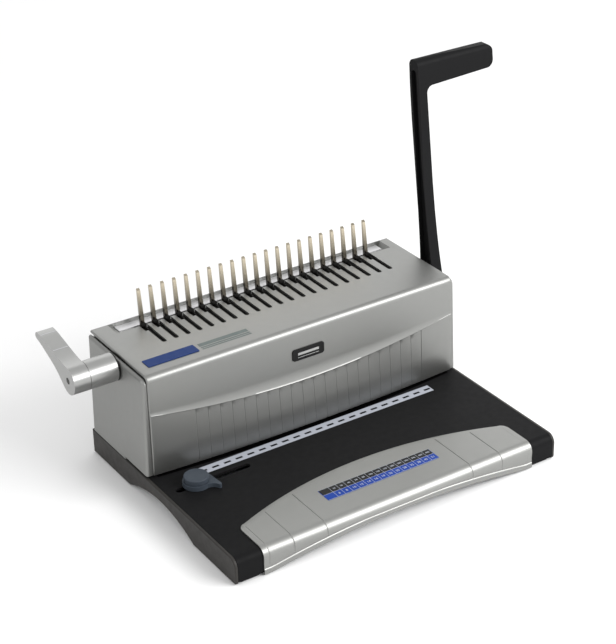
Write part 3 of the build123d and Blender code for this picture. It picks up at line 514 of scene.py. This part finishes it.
def make_cover(finishes):
    """The housing cover with its pleats, its lip, its trough and the fingers' slots."""
    ends = [0.0, 0.12, 0.4, 0.75]
    low, high = COVER_X[0] + END_ROUND, COVER_X[1] - END_ROUND
    stations = stations_with_grooves(low, high, FINGER_XS, PLEAT_HALF)
    stations = [COVER_X[0] + e for e in ends] + stations + [COVER_X[1] - e for e in reversed(ends)]
    mesh = loft("housing_shell", stations, cover_profile)
    trough = rectangle((TROUGH_X[0] - 2.0, TROUGH_X[1] + 2.0), (TROUGH_Y[0] - 2.0, COVER_REAR - 0.01))
    box = mesh_of("trough_box", lambda bm: prism(bm, trough, TROUGH_Z - 2.0, COVER_TOP - 0.4))
    mesh = carve(mesh, box, "UNION")

    def recess(bm):
        over = 3.0
        prism(bm, rectangle(TROUGH_X, TROUGH_Y), TROUGH_Z, COVER_TOP + over)
        for vert in bm.verts:
            if vert.co.z < (TROUGH_Z + 1) * MM:
                vert.co.x += math.copysign(TROUGH_SLOPE * MM, -vert.co.x)
            else:
                vert.co.x += math.copysign(TROUGH_SLOPE * over / 5.0 * MM, vert.co.x)

    mesh = carve(mesh, mesh_of("recess", recess))

    def slots(bm):
        for x in FINGER_XS:
            prism(bm, slot_outline(x), 136.0, COVER_TOP + 4.0)

    mesh = carve(mesh, mesh_of("slots", slots))
    smooth(mesh)
    new_object("housing_shell", mesh, ["housing_cover"], finishes["silver_housing"])


# ---------------------------------------------------------------- front fascia
FASCIA_X = 166.0
FASCIA_T = 1.8
FASCIA_TOP = 30.7
FASCIA_FRONT = -149.2
FASCIA_NOSE_R = 10.8
FASCIA_GROOVES = [-160.0, -131.0, -92.0, 87.5, 126.0, 160.0]
FASCIA_GROOVE_HALF = 0.7
FASCIA_GROOVE = 0.55
FASCIA_STEP = 0.45  # the raised fields stand this far over the rim
FASCIA_ARC = 158.0  # half the length of the rear edge's arc
FASCIA_REAR = -68.3  # the arc's rearmost Y, in the middle
FASCIA_FALL = 31.0  # how much further forward its ends are
FASCIA_EDGE = (13.8, 1.2)  # height of the lower edge in the middle and at the ends


def fascia_rear(x):
    """Y of the rear edge: an arc, then a rounded corner at each end."""
    past = abs(x) - FASCIA_ARC
    if past <= 0.0:
        return FASCIA_REAR - sag(x, FASCIA_ARC, FASCIA_FALL)
    share = past / (FASCIA_X - FASCIA_ARC)
    return FASCIA_REAR - FASCIA_FALL - 10.2 * (1.0 - math.sqrt(max(0.0, 1.0 - share**2)))


def fascia_profile(x):
    """The front fascia's section at x: the rim behind, the raised field, the nose and the lip line."""
    rear = fascia_rear(x)
    low = FASCIA_STEP
    sunk = groove_depth(x, FASCIA_GROOVES, FASCIA_GROOVE_HALF, FASCIA_GROOVE)
    if abs(x) > FASCIA_GROOVES[-1] + 0.2:
        sunk = max(sunk, low)
    cy = FASCIA_FRONT + FASCIA_NOSE_R
    cz = FASCIA_TOP - FASCIA_NOSE_R
    table = FASCIA_TOP - FASCIA_T
    outer = [
        (rear, table + 0.2),
        (rear, FASCIA_TOP - low - 0.35),
        (rear - 0.12, FASCIA_TOP - low - 0.1),
        (rear - 0.4, FASCIA_TOP - low),
        (rear - 4.6, FASCIA_TOP - low),
        (rear - 5.2, FASCIA_TOP - sunk),
    ]
    inner = [(y - 0.01 * i, table) for i, (y, _) in enumerate(outer)]
    outer += arc_points(cy, cz, FASCIA_NOSE_R - sunk, 90.0, 180.0, 12)
    inner += arc_points(cy, cz, FASCIA_NOSE_R - FASCIA_T, 90.0, 180.0, 12)
    edge = max(FASCIA_EDGE[1], FASCIA_EDGE[0] - sag(min(abs(x), FASCIA_ARC), FASCIA_ARC, 12.8))
    lip = min(edge + 6.0, cz - 1.0)
    face = FASCIA_FRONT
    for y, z in (
        (face + sunk + 0.35, (cz + lip) / 2),
        (face + max(sunk, 0.7), lip + 0.5),
        (face + 0.25, lip),
        (face, lip - 0.4),
        (face, edge + 0.5),
        (face + 0.4, edge),
    ):
        outer.append((y, z))
        inner.append((face + FASCIA_T, z))
    return outer, inner


def make_fascia(finishes):
    """The front fascia with its grooves and raised fields."""

    def from_groove(x):
        return min(abs(x - g) for g in FASCIA_GROOVES)

    run = FASCIA_X - FASCIA_ARC
    turns = [math.radians(a) for a in range(0, 91, 6)]
    corner = [side * (FASCIA_ARC + run * math.sin(a)) for side in (-1, 1) for a in turns]
    stations = stations_with_grooves(-FASCIA_X, FASCIA_X, FASCIA_GROOVES, FASCIA_GROOVE_HALF, 4.0)
    stations = [x for x in stations if abs(x) < FASCIA_ARC - 1.0 or from_groove(x) < 1.0]
    stations = sorted(set(stations + [x for x in corner if from_groove(x) > 0.9]))
    mesh = loft("fascia_sheet", stations, fascia_profile)
    smooth(mesh, 28.0)
    return new_object("fascia_sheet", mesh, ["front_fascia"], finishes["silver_fascia"])


# ---------------------------------------------------------------- printed chart
CHART_X = (-68.0, 70.0)
CHART_Y = (-114.6, -94.4)
CHART_Z = 31.0
COMB_SIZES = (6, 8, 10, 12, 14, 16, 19, 22, 25, 28, 32, 38, 45, 51)


def print_text(name, words, size, middle, z, finish):
    """Flat printed figures, centred on middle (X, Y), just over height z."""
    curve = bpy.data.curves.new(name, "FONT")
    curve.body = words
    curve.size = size * MM
    curve.align_x = "CENTER"
    curve.align_y = "CENTER"
    curve.extrude = 0.02 * MM
    curve.offset = 0.06 * MM
    helper = bpy.data.objects.new(name, curve)
    bpy.context.scene.collection.objects.link(helper)
    bpy.context.view_layer.update()
    mesh = bpy.data.meshes.new_from_object(helper.evaluated_get(bpy.context.evaluated_depsgraph_get()))
    bpy.data.objects.remove(helper)
    mesh.transform(Matrix.Translation((middle[0] * MM, middle[1] * MM, z * MM)))
    new_object(name, mesh, [], finish)


def make_chart(finishes):
    """Comb sizes under a black row of sheet counts, as plain figures in ruled cells."""
    line = 0.35
    head = 12.0
    cells = len(COMB_SIZES)
    middle_y = (CHART_Y[0] + CHART_Y[1]) / 2
    size_row = (CHART_Y[0] + line, middle_y - line / 2)
    count_row = (middle_y + line / 2, CHART_Y[1] - line)
    field = rectangle((CHART_X[0] + line, CHART_X[1] - line), count_row)
    mesh = mesh_of("chart_black_row", lambda bm: prism(bm, field, CHART_Z, CHART_Z + 0.04))
    new_object("chart_black_row", mesh, [], finishes["black_trim"])
    width = (CHART_X[1] - CHART_X[0] - head) / cells
    edges = [CHART_X[0] + head + width * i for i in range(cells)]
    white = finishes["white_print"]

    def lines(bm):
        low, high = CHART_Z, CHART_Z + 0.06
        for x in edges:
            for row in (size_row, count_row):
                prism(bm, rectangle((x - line / 2, x + line / 2), row), low, high)
        prism(bm, rectangle(CHART_X, (middle_y - line / 2, middle_y + line / 2)), low, high)
        for y in ((CHART_Y[0], CHART_Y[0] + line), (CHART_Y[1] - line, CHART_Y[1])):
            prism(bm, rectangle(CHART_X, y), low, high)

    new_object("chart_lines", mesh_of("chart_lines", lines), [], white)
    size_y = (CHART_Y[0] + middle_y) / 2
    count_y = (CHART_Y[1] + middle_y) / 2
    for i, size in enumerate(COMB_SIZES):
        x = edges[i] + width / 2
        name = "chart_size_%02d" % i
        print_text(name, str(size), 4.4, (x, size_y), CHART_Z + 0.03, white)
        name = "chart_count_%02d" % i
        count = str((i + 1) * (i + 3) * 2 + 10)
        print_text(name, count, 3.2, (x, count_y), CHART_Z + 0.07, white)


# ---------------------------------------------------------------- softened CAD pieces
SOFT_EDGES = {
    "opener_lever": 1.3,
    "punch_handle": 1.6,
    "base_table": 0.4,
    "blue_plate": 0.25,
    "front_badge": 0.4,
    "comb_fingers": 0.15,
    "edge_guide": 0.6,
}


def soften(name, width):
    """Round a CAD piece's sharp edges with modifiers; its own mesh stays as it is."""
    piece = nodes[name]
    tidy = piece.modifiers.new("flat", "DECIMATE")
    tidy.decimate_type = "DISSOLVE"
    tidy.angle_limit = math.radians(1.0)
    add_bevel(piece, width)


# ---------------------------------------------------------------- small added pieces
LEVER_LINE_X = (-246.4, -229.3)
LEVER_LINE_YS = (120.0, 147.0)
BADGE_X = 0.75
BADGE_Z = 115.8
BADGE_RISE = 1.2  # the badge's face stands this far out from the front wall
BADGE_BAR_HALF = 13.0
# The throat's painted shadow: a flat near-black sheet on the table, where the throat lies in shade.
THROAT_SHADOW_HALF = 186.0
THROAT_SHADOW_REAR = 29.4
THROAT_SHADOW_Z = (28.9, 28.98)
THROAT_SHADOW_REACH = 3.4  # how far the painted shadow sheet shows in front of the panel, in the middle


def surface_height(name, x, y):
    """Height of a CAD piece's upper side at (x, y)."""
    hit = nodes[name].ray_cast(Vector((x * MM, y * MM, 1.0)), Vector((0.0, 0.0, -1.0)))
    return hit[1].z / MM


def make_lever_lines(finishes):
    """Two fine raised lines across the lever's arm."""
    half = 0.3
    film = finishes["bright_strip"]
    for i, y in enumerate(LEVER_LINE_YS):
        low = surface_height("opener_lever", -238.0, y - half) - 0.4
        high = surface_height("opener_lever", -238.0, y + half) + 0.12
        outline = rectangle(LEVER_LINE_X, (y - half, y + half))
        mesh = mesh_of("lever_line", lambda bm: prism(bm, outline, low, high))
        new_object("lever_line_%d" % (i + 1), mesh, [], film, "opener_lever")


def make_badge_bar(finishes, name, low, high):
    """One bar on the badge's face between two heights, following the face's lean."""

    def bar(bm):
        points = rectangle((BADGE_X - BADGE_BAR_HALF, BADGE_X + BADGE_BAR_HALF), (low, high))
        front, rear = (
            [bm.verts.new((x * MM, (front_wall_y(z) - BADGE_RISE + away) * MM, z * MM)) for x, z in points]
            for away in (-0.05, 0.2)
        )
        bm.faces.new(front)
        bm.faces.new(rear[::-1])
        for i in range(4):
            k = (i + 1) % 4
            bm.faces.new((front[i], rear[i], rear[k], front[k]))

    new_object(name, mesh_of(name, bar), [], finishes["screw_steel"])


def make_throat_liner(finishes):
    """A flat near-black sheet on the table under the housing's front: painted shadow of the paper throat.
    """
    front = []
    for x in steps(-THROAT_SHADOW_HALF, THROAT_SHADOW_HALF, 40):
        part = (x / THROAT_SHADOW_HALF) ** 2
        front.append((x, panel_y(part, COVER_BOTTOM) - THROAT_SHADOW_REACH * (1.0 - part)))
    outline = front + [(THROAT_SHADOW_HALF, THROAT_SHADOW_REAR), (-THROAT_SHADOW_HALF, THROAT_SHADOW_REAR)]
    mesh = mesh_of("throat_shadow_sheet", lambda bm: prism(bm, outline, *THROAT_SHADOW_Z))
    new_object("throat_shadow_sheet", mesh, [], finishes["liner"])


def make_springs(finishes):
    """The return springs between the stripper plate and the punch bar, made again as a copy with its own
    mesh and the spring steel finish.
    """
    mesh = nodes["return_springs"].data.copy()
    springs = new_object("coil_springs", mesh, ["return_springs"], finishes["spring_steel"])
    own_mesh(springs)


make_camera()
make_studio()
finishes = make_finishes()
paint_cad_nodes(finishes)
make_cover(finishes)
make_fascia(finishes)
make_chart(finishes)
make_lever_lines(finishes)
make_badge_bar(finishes, "badge_bar", BADGE_Z - 0.6, BADGE_Z + 2.2)
make_badge_bar(finishes, "badge_line", BADGE_Z - 3.6, BADGE_Z - 3.0)
# painted shadow in the paper throat
make_throat_liner(finishes)
make_springs(finishes)
nodes["comb_rest_strip"].material_slots[0].material = finishes["polished_strip"]
for name, width in SOFT_EDGES.items():
    soften(name, width)
